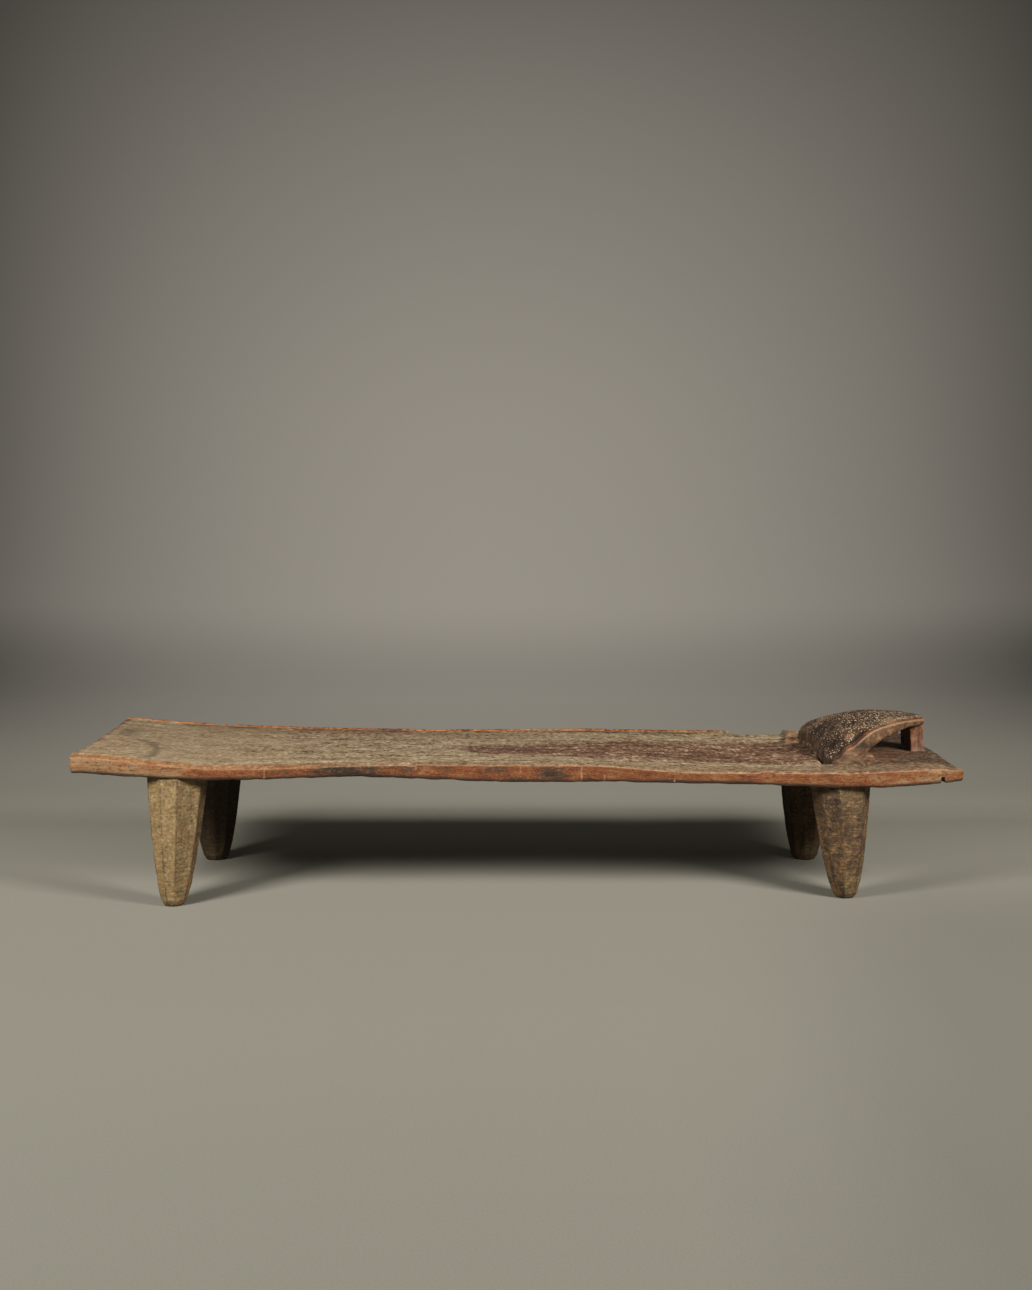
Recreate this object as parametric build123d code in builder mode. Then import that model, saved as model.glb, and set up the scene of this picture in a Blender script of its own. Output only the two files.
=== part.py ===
from build123d import *
import math
import os

# A low sleeping bed with a raised headrest, carved whole from one trunk. Millimetres.
# +X runs towards the head, +Z is up, and the origin is on the floor under the middle
# of the bed. Each carved region is a solid of its own, face to face with its neighbours.

LENGTH = 2134.0
WIDTH = 680.0
HALF_LENGTH = LENGTH / 2
HALF_WIDTH = WIDTH / 2

# Bed board
FOOT_END_SKEW = 8.0         # the rear corner of the foot end stands out by this much
EDGE_DRAFT = 5.0            # the long sides lean in towards the underside
BEVEL_WIDTH = 24.0          # worn bevel along the front side
RIM_DROP = 5.0              # from a rim's crest down to the lying surface
RIM_FOOT = 46.0             # from the side to where the lying surface starts
REAR_LIP_WIDTH = 14.0
# x, then heights above the floor of the front edge, rear edge, underside and middle,
# and how far the front bevel rises
BOARD_STATIONS = [
    (-HALF_LENGTH + FOOT_END_SKEW / 2, 361, 379, 323, 366, 10),
    (-900, 348, 365, 314, 354, 9),
    (-650, 332, 352, 307, 340, 9),
    (-370, 341, 345, 312, 338, 5),
    (-60, 341, 342, 301, 336, 3),
    (220, 338, 343, 300, 332, 3),
    (475, 321, 338, 294, 322, 4),
    (740, 320, 335, 285, 319, 3),
    (900, 324, 334, 285, 331, 2),
    (1020, 329, 338, 295, 334, 2),
    (HALF_LENGTH, 325, 341, 299, 334, 1),
]
WORN_REAR_RIM = (603.0, 748.0)      # the rear rim is worn away between these two places
WORN_RIM_TOP = 326.0
NOTCH_X = 1016.0
NOTCH_WIDTH = 9.0
NOTCH_HEIGHT = 14.0
NOTCH_DEPTH = 26.0

# Legs: foot and top centres, radii at the floor and under the board, first facet's angle
LEG_SIDES = 9
LEG_SWELL = 0.58            # below 1 the cone swells out quickly above its foot
LEG_LEVELS = (0.0, 0.04, 0.15, 0.32, 0.52, 0.76, 1.0)
LEG_BITE = 9.0              # how far a leg is drawn into the board before it is trimmed
FACET_WANDER = 6.0          # degrees by which a facet's corner strays from an even spacing
FACET_REACH = 1.04          # the corners stand out so that the facets keep the radius
FACET_UNEVEN = 0.035
LEGS = {
    "leg_front_left": {"foot": (-826, -300), "top": (-823, -254), "radii": (22, 74), "turn": 8},
    "leg_front_right": {"foot": (804, -245), "top": (786, -246), "radii": (22, 76), "turn": 23},
    "leg_rear_left": {"foot": (-810, 242), "top": (-810, 252), "radii": (26, 79), "turn": 31},
    "leg_rear_right": {"foot": (793, 216), "top": (804, 247), "radii": (26, 74), "turn": 14},
}

# Headrest: x, height of the crown, radius of the crown across the bed, and how far the crown
# lies behind the middle line
HEADREST_STATIONS = [
    (763, 332, 520, 44),
    (768, 364, 520, 44),
    (774, 382, 520, 44),
    (784, 393, 520, 42),
    (798, 402, 530, 28),
    (822, 411.5, 570, 8),
    (850, 419, 610, 0),
    (880, 425, 630, -2),
    (912, 428, 630, 0),
    (945, 428.5, 620, 0),
    (980, 427, 620, 0),
    (1011, 424, 620, 0),
    (1039, 419.5, 620, 0),
]
HEADREST_BASE = 298.0       # drawn down into the board before it is trimmed
HEADREST_LOW = 200.0        # where the crowned block starts, below all of it
HEADREST_BLOCK = 275.0      # half width before the plan outline is cut
# Plan outlines of the two long sides, from the base to the tip: x, distance from the middle
HEADREST_FRONT = [
    (765, 148),
    (775, 188),
    (790, 206),
    (812, 210),
    (866, 191),
    (928, 155),
    (990, 107),
    (1039, 53),
]
HEADREST_REAR = [
    (765, 180),
    (773, 203),
    (792, 216),
    (816, 216),
    (860, 196),
    (928, 156),
    (990, 110),
    (1039, 60),
]
TIP_SHIFT = -17.0           # the tip stands a little off the middle line

# The opening under the headrest, seen from the side
GAP_START = (860.0, 343.0)
GAP_ROOF = [(876.0, 358.0), (903.0, 374.0), (939.0, 388.5), (966.0, 394.5), (996.0, 397.5)]
GAP_MOUTH_X = 1100.0
GAP_MOUTH_ROOF = 410.0
GAP_FLOOR = [(905.0, 337.0), (882.0, 342.0)]
GAP_LOW = 288.0             # the cut starts below the headrest

# Post under the headrest's tip
POST_FOOT_X = (1009.0, 1044.0)
POST_HEAD_X = (1000.0, 1037.0)
POST_Y = (-68.0, 40.0)
POST_LOW = 320.0
POST_HIGH = 410.0


def across(x, skew=0.0):
    """The upright plane across the bed at x, with its first axis along +Y."""
    return Plane(origin=(x, 0, 0), x_dir=(-skew, WIDTH, 0), z_dir=(WIDTH, skew, 0))


def board_under(x):
    """Height of the board's underside at x."""
    for low, high in zip(BOARD_STATIONS, BOARD_STATIONS[1:]):
        if low[0] <= x <= high[0]:
            share = (x - low[0]) / (high[0] - low[0])
            return low[3] + share * (high[3] - low[3])
    return BOARD_STATIONS[-1][3]


with BuildPart() as platform:
    for index, (x, front, rear, under, middle, bevel) in enumerate(BOARD_STATIONS):
        skew = FOOT_END_SKEW if index == 0 else 0.0
        with BuildSketch(across(x, skew)):
            with BuildLine():
                front_foot = (-HALF_WIDTH + RIM_FOOT, front + bevel - RIM_DROP)
                rear_foot = (HALF_WIDTH - RIM_FOOT, rear - RIM_DROP)
                Polyline(
                    front_foot,
                    (-HALF_WIDTH + BEVEL_WIDTH, front + bevel),
                    (-HALF_WIDTH, front),
                    (-HALF_WIDTH + EDGE_DRAFT, under),
                    (HALF_WIDTH - EDGE_DRAFT, under),
                    (HALF_WIDTH, rear),
                    (HALF_WIDTH - REAR_LIP_WIDTH, rear),
                    rear_foot,
                )
                ThreePointArc(rear_foot, (0, middle), front_foot)
            make_face()
    loft()
    worn_middle = sum(WORN_REAR_RIM) / 2
    worn_length = WORN_REAR_RIM[1] - WORN_REAR_RIM[0]
    with BuildSketch(Plane.XY.offset(WORN_RIM_TOP)):
        with Locations((worn_middle, HALF_WIDTH)):
            Rectangle(worn_length, 2 * RIM_FOOT)
    extrude(amount=2 * RIM_FOOT, mode=Mode.SUBTRACT)
    with Locations((NOTCH_X, -HALF_WIDTH, board_under(NOTCH_X))):
        Box(NOTCH_WIDTH, 2 * NOTCH_DEPTH, 2 * NOTCH_HEIGHT, mode=Mode.SUBTRACT)
platform.part.label = "platform"


def headrest_side(outline, side):
    """The plan outline of the headrest's side at -Y (side -1) or +Y (side 1)."""
    start, tip = outline[0][0], outline[-1][0]
    return [(x, side * reach + TIP_SHIFT * (x - start) / (tip - start)) for x, reach in outline]


with BuildPart() as headrest:
    for x, crown, radius, shift in HEADREST_STATIONS:
        edge = crown - radius + math.sqrt(radius**2 - HEADREST_BLOCK**2)
        front_edge = (shift - HEADREST_BLOCK, edge)
        rear_edge = (shift + HEADREST_BLOCK, edge)
        with BuildSketch(across(x)):
            with BuildLine():
                Polyline(
                    rear_edge,
                    (shift + HEADREST_BLOCK, HEADREST_LOW),
                    (shift - HEADREST_BLOCK, HEADREST_LOW),
                    front_edge,
                )
                ThreePointArc(front_edge, (shift, crown), rear_edge)
            make_face()
    loft()
    with BuildSketch(Plane.XY.offset(HEADREST_BASE)):
        with BuildLine():
            front = Spline(*headrest_side(HEADREST_FRONT, -1))
            rear = Spline(*headrest_side(HEADREST_REAR, 1))
            Line(front @ 0, rear @ 0)
            Line(front @ 1, rear @ 1)
        make_face()
    extrude(amount=HALF_WIDTH, mode=Mode.INTERSECT)
    with BuildSketch(Plane.XZ):
        with BuildLine():
            Spline(GAP_START, *GAP_ROOF, (GAP_MOUTH_X, GAP_MOUTH_ROOF))
            Polyline(
                (GAP_MOUTH_X, GAP_MOUTH_ROOF),
                (GAP_MOUTH_X, GAP_LOW),
                (GAP_FLOOR[0][0], GAP_LOW),
                *GAP_FLOOR,
                GAP_START,
            )
        make_face()
    extrude(amount=HALF_WIDTH, both=True, mode=Mode.SUBTRACT)
    add(platform.part, mode=Mode.SUBTRACT)
headrest.part.label = "headrest"


with BuildPart() as post:
    for height, (low_x, high_x) in ((POST_LOW, POST_FOOT_X), (POST_HIGH, POST_HEAD_X)):
        with BuildSketch(Plane.XY.offset(height)):
            with Locations(((low_x + high_x) / 2, sum(POST_Y) / 2)):
                Rectangle(high_x - low_x, POST_Y[1] - POST_Y[0])
    loft(ruled=True)
    add(platform.part, mode=Mode.SUBTRACT)
    add(headrest.part, mode=Mode.SUBTRACT)
post.part.label = "headrest_post"


def leg_outline(foot, top, radii, turn, level):
    """The corners of one leg's section at a share of its height."""
    centre_x = foot[0] + level * (top[0] - foot[0])
    centre_y = foot[1] + level * (top[1] - foot[1])
    radius = radii[0] + (radii[1] - radii[0]) * level**LEG_SWELL
    corners = []
    for side in range(LEG_SIDES):
        wander = FACET_WANDER * math.sin(2.3 * side + turn)
        angle = math.radians(turn + side * 360 / LEG_SIDES + wander)
        reach = radius * (FACET_REACH + FACET_UNEVEN * math.sin(1.7 * side + turn))
        corners.append((centre_x + reach * math.cos(angle), centre_y + reach * math.sin(angle)))
    return corners


pieces = {"platform": platform.part, "headrest": headrest.part, "headrest_post": post.part}
for name, shape in LEGS.items():
    height = board_under(shape["top"][0]) + LEG_BITE
    with BuildPart() as leg:
        for level in LEG_LEVELS:
            with BuildSketch(Plane.XY.offset(level * height)):
                Polygon(*leg_outline(**shape, level=level), align=None)
        loft(ruled=True)
        add(platform.part, mode=Mode.SUBTRACT)
    leg.part.label = name
    pieces[name] = leg.part

os.makedirs("parts", exist_ok=True)
for name, piece in pieces.items():
    box = piece.bounding_box()
    print(name, "volume", round(piece.volume), "solids", len(piece.solids()), box.min, box.max)
    export_step(piece, f"parts/{name}.step")
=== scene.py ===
import math

import bmesh
import bpy
import numpy as np
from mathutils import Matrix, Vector, kdtree, noise
from mathutils.bvhtree import BVHTree


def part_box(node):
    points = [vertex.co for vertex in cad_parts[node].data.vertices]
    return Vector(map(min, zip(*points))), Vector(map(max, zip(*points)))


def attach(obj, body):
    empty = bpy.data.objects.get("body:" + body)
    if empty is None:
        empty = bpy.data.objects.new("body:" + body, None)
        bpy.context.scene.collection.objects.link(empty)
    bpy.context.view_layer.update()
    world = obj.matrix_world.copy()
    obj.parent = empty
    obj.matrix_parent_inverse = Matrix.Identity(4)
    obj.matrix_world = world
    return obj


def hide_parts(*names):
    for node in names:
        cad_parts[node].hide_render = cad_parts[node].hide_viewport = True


# A low bed with a raised headrest, carved from one trunk: worn, weathered and hand hewn.
# Metres, +X towards the head, +Z up. Each visible piece stands for the CAD node of its name.

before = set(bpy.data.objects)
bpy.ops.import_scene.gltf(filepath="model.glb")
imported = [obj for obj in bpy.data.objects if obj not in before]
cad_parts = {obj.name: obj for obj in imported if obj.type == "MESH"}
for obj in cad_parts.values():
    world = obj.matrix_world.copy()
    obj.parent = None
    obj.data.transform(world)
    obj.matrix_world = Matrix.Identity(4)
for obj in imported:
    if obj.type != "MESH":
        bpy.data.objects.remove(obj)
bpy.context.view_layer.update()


# ---- shape helpers

WELD = 1e-5  # corners closer than this become one
SPREAD_SAMPLES = 20001
EDGE_STEP = 0.004  # spacing of the points that stand for a sharp edge
FRACTAL_FALL = 0.9  # how quickly the finer octaves of the noise fade
FRACTAL_STEP = 2.0  # how much finer each octave is than the last


def shown(color):
    """A colour given as the three 0-255 values that a screen shows, as Blender's linear values."""
    values = [part / 255 for part in color]
    return [v / 12.92 if v <= 0.04045 else ((v + 0.055) / 1.055) ** 2.4 for v in values] + [1.0]


def ease(low, high, values):
    """0 below low, 1 above high and a smooth curve in between. low may be above high."""
    share = np.clip((values - low) / (high - low), 0, 1)
    return share * share * (3 - 2 * share)


def grown(values, amount, start, full):
    """Nothing before the start, and the whole amount from where it is full."""
    return amount * ease(start, full, values)


def bell(values, centre, reach):
    """1 at the centre, falling smoothly to 0 at the reach on each side."""
    return np.clip(1 - ((values - centre) / reach) ** 2, 0, 1) ** 2


def rough(points, size, octaves=3, shift=0.0):
    """Fractal noise of about -1 to 1 at each point; its features have the size (x, y, z)."""
    scaled = (points / np.array(size) + shift).tolist()
    return np.array([noise.fractal(p, FRACTAL_FALL, FRACTAL_STEP, octaves) for p in scaled])


def spread(low, high, step, fine_spots):
    """Positions from low to high, a step apart, and closer round each (place, reach, fine step)."""
    line = np.linspace(low, high, SPREAD_SAMPLES)
    steps = np.full(line.shape, step)
    for place, reach, fine in fine_spots:
        away = np.clip(np.abs(line - place) / reach, 0, 1)
        steps = np.minimum(steps, fine + (step - fine) * away**2)
    count = np.concatenate([[0], np.cumsum(np.diff(line) / steps[:-1])])
    return np.interp(np.linspace(0, count[-1], round(count[-1]) + 1), count, line)


def welded(node):
    """A CAD node's mesh with its doubled corners joined."""
    form = bmesh.new()
    form.from_mesh(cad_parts[node].data)
    bmesh.ops.remove_doubles(form, verts=form.verts, dist=WELD)
    return form


class CadShape:
    """A CAD node's surface, for measuring where its top, underside and sharp edges are."""

    def __init__(self, node):
        self.form = welded(node)
        self.form.normal_update()
        self.tree = BVHTree.FromBMesh(self.form)
        self.low, self.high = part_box(node)

    def height(self, x, y, down=True):
        """Height of the surface met at each x, y from above, or from below."""
        start, way = (self.high.z + 1, -1) if down else (self.low.z - 1, 1)
        found = []
        for px, py in zip(np.ravel(x), np.ravel(y)):
            hit = self.tree.ray_cast(Vector((px, py, start)), Vector((0, 0, way)))[0]
            found.append(hit.z if hit else np.nan)
        return np.array(found).reshape(np.shape(x))

    def sharp_edges(self, angle):
        """A search tree of points along the edges that turn by more than an angle in degrees."""
        points = []
        for edge in self.form.edges:
            if len(edge.link_faces) == 2 and edge.calc_face_angle() > math.radians(angle):
                a, b = edge.verts[0].co, edge.verts[1].co
                count = max(2, math.ceil((b - a).length / EDGE_STEP))
                points += [a.lerp(b, i / count) for i in range(count + 1)]
        tree = kdtree.KDTree(len(points))
        for index, point in enumerate(points):
            tree.insert(point, index)
        tree.balance()
        return tree


def rows(piece, key):
    """One row for each of the piece's vertices: its place ("co") or its "normal"."""
    values = np.empty(len(piece.data.vertices) * 3)
    piece.data.vertices.foreach_get(key, values)
    return values.reshape(-1, 3)


def place(piece, co):
    """Moves the piece's vertices to new places."""
    piece.data.vertices.foreach_set("co", np.ascontiguousarray(co).ravel())
    piece.data.update()


def smoothed(piece, co, rounds, weight):
    """Each point moves towards the middle of its neighbours, as far as its weight lets it."""
    edges = np.empty(len(piece.data.edges) * 2, int)
    piece.data.edges.foreach_get("vertices", edges)
    a, b = edges.reshape(-1, 2).T
    count = np.bincount(np.concatenate([a, b]), minlength=len(co))[:, None]
    for _ in range(rounds):
        total = np.zeros_like(co)
        for axis in range(3):
            total[:, axis] = np.bincount(a, co[b, axis], len(co)) + np.bincount(b, co[a, axis], len(co))
        co = co + weight * (total / count - co)
    return co


def quads(grid):
    """The four-cornered faces between the neighbouring points of a grid."""
    corners = [grid[:-1, :-1], grid[:-1, 1:], grid[1:, 1:], grid[1:, :-1]]
    return np.stack(corners, -1).reshape(-1, 4)


def mask(piece, name, values):
    """A value from 0 to 1 at each vertex, which the piece's material reads by name."""
    layer = piece.data.attributes.new(name, "FLOAT", "POINT")
    layer.data.foreach_set("value", np.clip(values, 0, 1).astype(np.float32))


def added(name, data):
    """Puts a mesh, a light or the camera into the scene."""
    thing = bpy.data.objects.new(name, data)
    bpy.context.scene.collection.objects.link(thing)
    return thing


def remeshed(node, name, voxel, move):
    """A closed, evenly divided copy of a CAD node, whose welded vertices move() has shifted first."""
    form = welded(node)
    for vertex in form.verts:
        vertex.co = move(vertex.co)
    mesh = bpy.data.meshes.new(name)
    form.to_mesh(mesh)
    form.free()
    source = added(name + "_source", mesh)
    step = source.modifiers.new("voxels", "REMESH")
    step.mode = "VOXEL"
    step.voxel_size = voxel
    made = bpy.data.meshes.new_from_object(source.evaluated_get(bpy.context.evaluated_depsgraph_get()))
    bpy.data.objects.remove(source)
    made.name = name
    made.materials.clear()
    return added(name, made)


def fix_normals(piece):
    """Turns every face of a closed piece outwards."""
    form = bmesh.new()
    form.from_mesh(piece.data)
    bmesh.ops.recalc_face_normals(form, faces=form.faces)
    form.to_mesh(piece.data)
    form.free()


def finish_piece(piece, node, material):
    """Gives a piece its material and lets it stand for a CAD node, on the part's only body."""
    piece.data.materials.append(material)
    piece.data.polygons.foreach_set("use_smooth", [True] * len(piece.data.polygons))
    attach(piece, "root")
    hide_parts(node)


# ---- material helpers

GLOSS = 0.35  # old dry wood and matt paint shine little


class Nodes:
    """A material's node tree. Each call adds nodes and returns the socket that it made."""

    def __init__(self, name):
        self.material = bpy.data.materials.new(name)
        self.material.use_nodes = True
        self.tree = self.material.node_tree
        self.shader = self.tree.nodes["Principled BSDF"]
        self.origin = self.add("ShaderNodeTexCoord").outputs["Object"]

    def add(self, kind, **settings):
        node = self.tree.nodes.new(kind)
        for key, value in settings.items():
            setattr(node, key, value)
        return node

    def feed(self, socket, value):
        """Joins a socket to another or to a named mask, or sets it to a value or a shown colour."""
        if isinstance(value, str):
            value = self.mask(value)
        if isinstance(value, bpy.types.NodeSocket):
            self.tree.links.new(value, socket)
        elif isinstance(value, tuple):
            socket.default_value = shown(value)
        else:
            socket.default_value = value

    def texture(self, kind, size, shift):
        """A texture whose features have the size (x, y, z) in metres."""
        mapping = self.add("ShaderNodeMapping")
        self.feed(mapping.inputs["Vector"], self.origin)
        mapping.inputs["Scale"].default_value = [1 / part for part in size]
        mapping.inputs["Location"].default_value = (shift, shift, shift)
        node = self.add(kind)
        self.feed(node.inputs["Vector"], mapping.outputs["Vector"])
        node.inputs["Scale"].default_value = 1.0
        return node

    def grain(self, size, detail=4.0, roughness=0.55, warp=0.0, shift=0.0):
        """Noise from 0 to 1."""
        node = self.texture("ShaderNodeTexNoise", size, shift)
        node.inputs["Detail"].default_value = detail
        node.inputs["Roughness"].default_value = roughness
        node.inputs["Distortion"].default_value = warp
        return node.outputs["Fac"]

    def cells(self, size, shift=0.0):
        """Distance to the nearest of scattered points, and a random colour for each point."""
        node = self.texture("ShaderNodeTexVoronoi", size, shift)
        return node.outputs["Distance"], node.outputs["Color"]

    def sum(self, *parts):
        """The sum of (socket, factor) pairs and plain numbers."""
        total = sum(part for part in parts if not isinstance(part, tuple))
        for socket, factor in (part for part in parts if isinstance(part, tuple)):
            node = self.add("ShaderNodeMath", operation="MULTIPLY_ADD")
            self.feed(node.inputs[0], socket)
            self.feed(node.inputs[1], factor)
            self.feed(node.inputs[2], total)
            total = node.outputs[0]
        return total

    def joined(self, operation, a, b):
        """Two values, each a socket or a plain number, joined by one operation."""
        node = self.add("ShaderNodeMath", operation=operation)
        self.feed(node.inputs[0], a)
        self.feed(node.inputs[1], b)
        return node.outputs[0]

    def times(self, a, b):
        return self.joined("MULTIPLY", a, b)

    def larger(self, a, b):
        return self.joined("MAXIMUM", a, b)

    def chance(self, color):
        """A single random value from a cell's random colour."""
        node = self.add("ShaderNodeSeparateColor")
        self.feed(node.inputs["Color"], color)
        return node.outputs["Red"]

    def rise(self, value, low, high):
        """0 below low, 1 above high, smooth in between; low may be above high."""
        node = self.add("ShaderNodeMapRange", interpolation_type="SMOOTHSTEP")
        self.feed(node.inputs["Value"], value)
        node.inputs["From Min"].default_value = min(low, high)
        node.inputs["From Max"].default_value = max(low, high)
        node.inputs["To Min"].default_value = 0.0 if low < high else 1.0
        node.inputs["To Max"].default_value = 1.0 if low < high else 0.0
        return node.outputs["Result"]

    def ramp(self, value, *stops):
        """Colours blended along a value; each stop is (value, shown colour)."""
        node = self.add("ShaderNodeValToRGB")
        band = node.color_ramp
        while len(band.elements) < len(stops):
            band.elements.new(0.5)
        for element, (position, color) in zip(band.elements, stops):
            element.position = position
            element.color = shown(color)
        self.feed(node.inputs["Fac"], value)
        return node.outputs["Color"]

    def mix(self, share, low, high, blend="MIX"):
        """One colour where the share is 0, the other where it is 1."""
        node = self.add("ShaderNodeMix", data_type="RGBA", blend_type=blend)
        self.feed(node.inputs[0], share)
        self.feed(node.inputs[6], low)
        self.feed(node.inputs[7], high)
        return node.outputs[2]

    def mask(self, name):
        """The value that mask() stored on the piece under this name."""
        return self.add("ShaderNodeAttribute", attribute_name=name).outputs["Fac"]

    def cover(self, color, name, share, other):
        """Lays another colour over a colour, where a mask says, up to a share."""
        return self.mix(self.times(name, share), color, other)

    def finish(self, color, roughness, height, depth):
        """Joins the colour, roughness and relief to the shader. depth is the relief in metres."""
        self.feed(self.shader.inputs["Base Color"], color)
        self.feed(self.shader.inputs["Roughness"], roughness)
        bump = self.add("ShaderNodeBump")
        bump.inputs["Strength"].default_value = 1.0
        bump.inputs["Distance"].default_value = depth
        self.feed(bump.inputs["Height"], height)
        self.feed(self.shader.inputs["Normal"], bump.outputs["Normal"])
        self.shader.inputs["Specular IOR Level"].default_value = GLOSS
        return self.material


# ---- camera, lights and stage

CAMERA_PLACE = (-0.077, -4.226, 0.921)
CAMERA_DOWN = math.atan(0.0756)
CAMERA_RIGHT = math.atan(0.01875)
LENS = 46.13

# two square soft boxes in front of the object, and one behind it that lights the backdrop
KEY_X = 2.13
KEY_Y = -2.16
KEY_Z = 1.76
KEY_SIZE = 0.87
KEY_POWER = 134.0
KEY_AIM = (0.0, 0.1, 0.3)
BACK_PLACE = (0.0, 1.0, 2.3)
BACK_AIM = (0.0, 5.0, 2.3)
BACK_SIZE = 1.2
BACK_POWER = 160.0
AMBIENT = 0.045
LAMP_COLOR = (1.0, 0.99, 0.97)
AMBIENT_COLOR = (1.0, 0.98, 0.95, 1)

FLOOR_WIDTH = 24.0
FLOOR_FRONT = -9.0
SWEEP_START = 4.3
SWEEP_RADIUS = 1.6
WALL_TOP = 7.0
FLOOR_ROWS = 70
SWEEP_ROWS = 24
WALL_ROWS = 30
STAGE_COLUMNS = 121

PAINT_LIFT = 1.08
PAINT_ROUGHNESS = 0.9
PAINT_RELIEF = 0.0002

# How bright the stage is meant to look. A change is (how much, where it starts, where it is full)
NEAR_TONE = 0.296
FRONT_CHANGE = (0.030, -1.2, -2.4)
BACK_CHANGE = (0.083, 0.0, 1.5)
CORNER_CHANGE = (0.24, 0.10, 0.28)  # by slope, to the right of a line from CORNER_START
CORNER_DEPTH = (0.3, -0.6)
CORNER_START = -4.3
WALL_TONE = 0.280
WALL_FADE = 0.0095
WALL_FOOT = (0.02, 0.45)
STAGE_MIDDLE = -0.08
STAGE_REACH = 3.05
LEFT_FALL = 0.65
RIGHT_FALL = 0.52
FALL_CHANGE = (0.20, 1.5, 3.5)


def make_camera():
    """The camera of the photo, level but for a slight tilt down and a slight turn."""
    camera = added("camera", bpy.data.cameras.new("camera"))
    camera.location = CAMERA_PLACE
    camera.rotation_euler = (math.pi / 2 - CAMERA_DOWN, 0, -CAMERA_RIGHT)
    camera.data.lens = LENS
    bpy.context.scene.camera = camera


def soft_boxes():
    """The lights as (place, aim, size, power)."""
    keys = [((side * KEY_X, KEY_Y, KEY_Z), KEY_AIM, KEY_SIZE, KEY_POWER) for side in (-1, 1)]
    return keys + [(BACK_PLACE, BACK_AIM, BACK_SIZE, BACK_POWER)]


def make_lights():
    """The soft boxes, and a faint even light from all around."""
    for spot, aim, size, power in soft_boxes():
        data = bpy.data.lights.new("soft_box", "AREA")
        data.size = size
        data.energy = power
        data.color = LAMP_COLOR
        light = added("soft_box", data)
        light.location = spot
        way = Vector(aim) - Vector(spot)
        light.rotation_euler = way.to_track_quat("-Z", "Y").to_euler()
        light.visible_camera = False
    world = bpy.data.worlds.new("studio")
    world.use_nodes = True
    background = world.node_tree.nodes["Background"]
    background.inputs["Color"].default_value = AMBIENT_COLOR
    background.inputs["Strength"].default_value = AMBIENT
    bpy.context.scene.world = world


def arriving(co, out):
    """How brightly the soft boxes light points of the stage that face the given ways."""
    total = np.full(len(co), AMBIENT)
    for spot, aim, _, power in soft_boxes():
        to_light = np.array(spot) - co
        far = np.linalg.norm(to_light, axis=1)
        ahead = (np.array(aim) - spot) / np.linalg.norm(np.array(aim) - spot)
        sent = np.clip(-(to_light @ ahead) / far, 0, 1)
        met = np.clip((to_light * out).sum(1) / far, 0, 1)
        total += power * sent * met / (math.pi * far) ** 2
    return total


def stage_brightness(x, y, z):
    """How bright the stage is meant to look: even near the object, fading to the sides and up the wall."""
    near = NEAR_TONE - grown(y, *FRONT_CHANGE) - grown(y, *BACK_CHANGE)
    corner = grown(x / (y - CORNER_START), *CORNER_CHANGE) * ease(*CORNER_DEPTH, y)
    near = near * (1 - corner)
    wall = WALL_TONE - WALL_FADE * np.clip(z, 0, 5) ** 2
    tone = near + (wall - near) * ease(*WALL_FOOT, z)
    fall = np.where(x < STAGE_MIDDLE, LEFT_FALL, RIGHT_FALL)
    fall = (fall + grown(y, *FALL_CHANGE) * ease(0.5, 0.1, z)) * ease(0.4, 1.6, y)
    return tone * (1 - fall * np.clip(np.abs(x - STAGE_MIDDLE) / STAGE_REACH, 0, 1.15) ** 2)


def make_stage():
    """A floor that sweeps up into a wall, in a warm grey shaded to look evenly lit."""
    profile = [(y, 0.0) for y in np.linspace(FLOOR_FRONT, SWEEP_START, FLOOR_ROWS)]
    for turn in np.linspace(0, math.pi / 2, SWEEP_ROWS)[1:]:
        rise = SWEEP_RADIUS * (1 - math.cos(turn))
        profile.append((SWEEP_START + SWEEP_RADIUS * math.sin(turn), rise))
    wall = np.linspace(SWEEP_RADIUS, WALL_TOP, WALL_ROWS)[1:]
    profile += [(SWEEP_START + SWEEP_RADIUS, z) for z in wall]
    across = np.linspace(-FLOOR_WIDTH / 2, FLOOR_WIDTH / 2, STAGE_COLUMNS)
    co = np.array([(x, y, z) for y, z in profile for x in across])
    faces = quads(np.arange(len(co)).reshape(len(profile), -1))
    mesh = bpy.data.meshes.new("stage")
    mesh.from_pydata(co.tolist(), [], faces.tolist())
    mesh.polygons.foreach_set("use_smooth", [True] * len(faces))
    stage = added("stage", mesh)
    mask(stage, "tone", np.clip(stage_brightness(*co.T) / arriving(co, rows(stage, "normal")), 0.05, 0.8))
    mask(stage, "far", ease(0.5, 5.0, co[:, 1]))
    paint = Nodes("stage_paint")
    speck = paint.grain((0.004, 0.004, 0.004), 2.0)
    floor = paint.ramp(speck, (0.3, (244, 237, 214)), (0.7, (254, 247, 224)))
    wall = paint.ramp(speck, (0.3, (246, 238, 224)), (0.7, (254, 246, 232)))
    color = paint.mix("far", floor, wall)
    color = paint.mix(1.0, color, paint.sum(("tone", PAINT_LIFT)), "MULTIPLY")
    mesh.materials.append(paint.finish(color, PAINT_ROUGHNESS, speck, PAINT_RELIEF))


# ---- headrest outline

head_cad = CadShape("headrest")
OUTLINE_PLACES = 60
OUTLINE_HALVINGS = 14
OUTLINE_SEARCH = 0.26  # further out than the headrest reaches


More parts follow.
